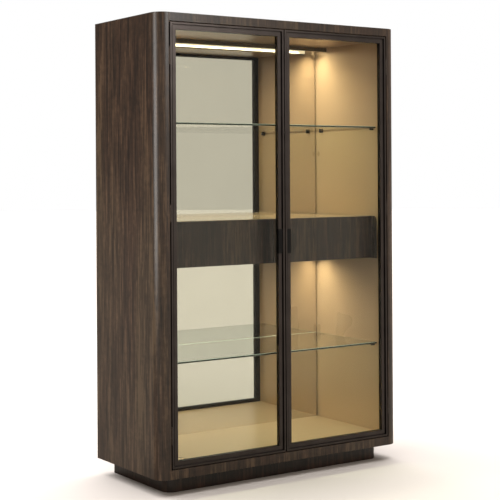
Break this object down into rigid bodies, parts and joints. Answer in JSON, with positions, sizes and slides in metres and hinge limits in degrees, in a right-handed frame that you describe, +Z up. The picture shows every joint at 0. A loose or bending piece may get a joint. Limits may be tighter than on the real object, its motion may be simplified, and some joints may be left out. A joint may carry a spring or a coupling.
{
  "type": "china cabinet with glass doors",
  "caption": "Tall display cabinet with rounded front corners, inset framed glass doors, mirrored back, glass shelves, a drawer band behind the doors and a recessed plinth.",
  "frame": {"origin": "middle of the cabinet's footprint, on the floor", "axes": "+Z up, +X to the right of someone who faces the doors, doors face -Y"},
  "size_m": [1.25, 0.5374, 1.95],
  "materials": {
    "veneer": "smoked oak veneer, open grain, matt lacquer",
    "plinth": "dark stained wood, matt",
    "back_board": "dark laminated board",
    "lining": "champagne beige satin lacquer on board",
    "mirror": "silvered float glass",
    "shelf_glass": "clear float glass with polished green edges",
    "pane_glass": "clear tempered glass",
    "bronze_frame": "dark bronze anodised, satin",
    "gasket": "black silicone",
    "pull_black": "black powder coat",
    "hinge_bronze": "dark bronze, satin",
    "drawer_box": "beige laminated drawer sides",
    "rail_steel": "zinc plated steel",
    "pin_dark": "dark bronze, satin",
    "cove_dark": "dark bronze anodised, satin",
    "lamp_aluminium": "natural anodised",
    "diffuser": "opal polycarbonate, lit from within",
    "magnet": "black coated magnet",
    "foot_plastic": "black nylon"
  },
  "bodies": {
    "case": {"back_panel": "back_board", "bottom_panel": "veneer", "cable_grommet": "foot_plastic", "case_hinge_leaves": "hinge_bronze", "ceiling_lining": "lining", "cove_diffuser": "diffuser", "cove_lamp": "lamp_aluminium", "cove_lip": "cove_dark", "door_magnets": "magnet", "drawer_rails": "rail_steel", "floor_lining": "lining", "glass_shelf_lower": "shelf_glass", "glass_shelf_upper": "shelf_glass", "hinge_pins": "hinge_bronze", "levelling_feet": "foot_plastic", "mirror_lower": "mirror", "mirror_upper": "mirror", "plinth_back": "plinth", "plinth_front": "plinth", "plinth_left": "plinth", "plinth_right": "plinth", "shelf_pins": "pin_dark", "side_left": "veneer", "side_lining_left": "lining", "side_lining_right": "lining", "side_right": "veneer", "top_panel": "veneer", "unit_back": "back_board", "unit_bottom": "lining", "unit_cheek_left": "veneer", "unit_cheek_right": "veneer", "unit_diffuser": "diffuser", "unit_divider": "back_board", "unit_lamp": "lamp_aluminium", "unit_top": "lining"},
    "door_left": {"door_left_gasket": "gasket", "door_left_glass": "pane_glass", "door_left_hinge_leaves": "hinge_bronze", "door_left_pull": "pull_black", "door_left_rail_bottom": "bronze_frame", "door_left_rail_top": "bronze_frame", "door_left_stile_hinge": "bronze_frame", "door_left_stile_meeting": "bronze_frame"},
    "door_right": {"door_right_gasket": "gasket", "door_right_glass": "pane_glass", "door_right_hinge_leaves": "hinge_bronze", "door_right_pull": "pull_black", "door_right_rail_bottom": "bronze_frame", "door_right_rail_top": "bronze_frame", "door_right_stile_hinge": "bronze_frame", "door_right_stile_meeting": "bronze_frame"},
    "drawer_left": {"drawer_left_bottom": "drawer_box", "drawer_left_front": "veneer", "drawer_left_runners": "rail_steel", "drawer_left_walls": "drawer_box"},
    "drawer_right": {"drawer_right_bottom": "drawer_box", "drawer_right_front": "veneer", "drawer_right_runners": "rail_steel", "drawer_right_walls": "drawer_box"}
  },
  "joints": [
    {"name": "door_left_hinge", "type": "hinge", "parent": "case", "child": "door_left", "pos_m": [-0.56725, -0.2663, 1], "axis": [0, 0, -1], "range_deg": [0, 165]},
    {"name": "door_right_hinge", "type": "hinge", "parent": "case", "child": "door_right", "pos_m": [0.56725, -0.2663, 1], "axis": [0, 0, 1], "range_deg": [0, 165]},
    {"name": "drawer_left_slide", "type": "slide", "parent": "case", "child": "drawer_left", "axis": [0, -1, 0], "range_m": [0, 0.125]},
    {"name": "drawer_right_slide", "type": "slide", "parent": "case", "child": "drawer_right", "axis": [0, -1, 0], "range_m": [0, 0.125]}
  ],
  "couplings": [
    {"joint": "drawer_left_slide", "follows": "door_left_hinge", "m_per_rad": 0.043},
    {"joint": "drawer_right_slide", "follows": "door_right_hinge", "m_per_rad": 0.043}
  ]
}
